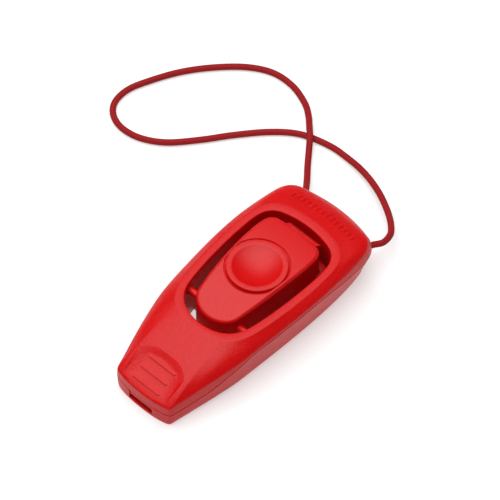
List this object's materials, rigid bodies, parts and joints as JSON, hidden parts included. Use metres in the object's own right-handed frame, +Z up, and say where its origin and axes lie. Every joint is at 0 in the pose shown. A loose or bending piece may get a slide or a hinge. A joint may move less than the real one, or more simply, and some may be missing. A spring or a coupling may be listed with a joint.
{
  "type": "clicker trainer",
  "caption": "Hand-held dog training whistle and clicker with a rocker button in a window, bite pad and elastic wrist cord.",
  "frame": {"origin": "middle of the underside of the body, cord left out", "axes": "+X along the body from the mouthpiece to the cord end, +Y to the left seen from the mouthpiece, +Z up through the button"},
  "size_m": [0.1145, 0.1003, 0.02],
  "materials": {
    "shell_plastic": "fine spark-eroded texture, satin",
    "button_plastic": "smooth satin",
    "inner_plastic": "smooth, as moulded",
    "spring_steel": "cold rolled strip, blanked edges",
    "screw_steel": "zinc plated",
    "ferrule_metal": "plain crimped tube",
    "cord_fabric": "braided elastic, dark red"
  },
  "bodies": {
    "housing": {"upper_shell": "shell_plastic", "lower_shell": "shell_plastic", "reed_clamp": "inner_plastic", "clamp_screws": "screw_steel", "whistle_insert": "inner_plastic", "shell_screws": "screw_steel", "cord_ferrule_left": "ferrule_metal", "cord_ferrule_right": "ferrule_metal", "wrist_cord": "cord_fabric"},
    "button": {"click_button": "button_plastic"},
    "reed": {"click_reed": "spring_steel"}
  },
  "joints": [
    {"name": "button_press", "type": "hinge", "parent": "housing", "child": "button", "pos_m": [-0.0093, 0, 0.0132], "axis": [0, 1, 0], "range_deg": [0, 3], "stiffness_Nm_per_rad": 1},
    {"name": "reed_flex", "type": "hinge", "parent": "housing", "child": "reed", "pos_m": [0.0198, 0, 0.0044], "axis": [0, 1, 0], "range_deg": [-3.4, 0]}
  ],
  "couplings": [
    {"joint": "reed_flex", "follows": "button_press", "ratio": -1.1}
  ]
}
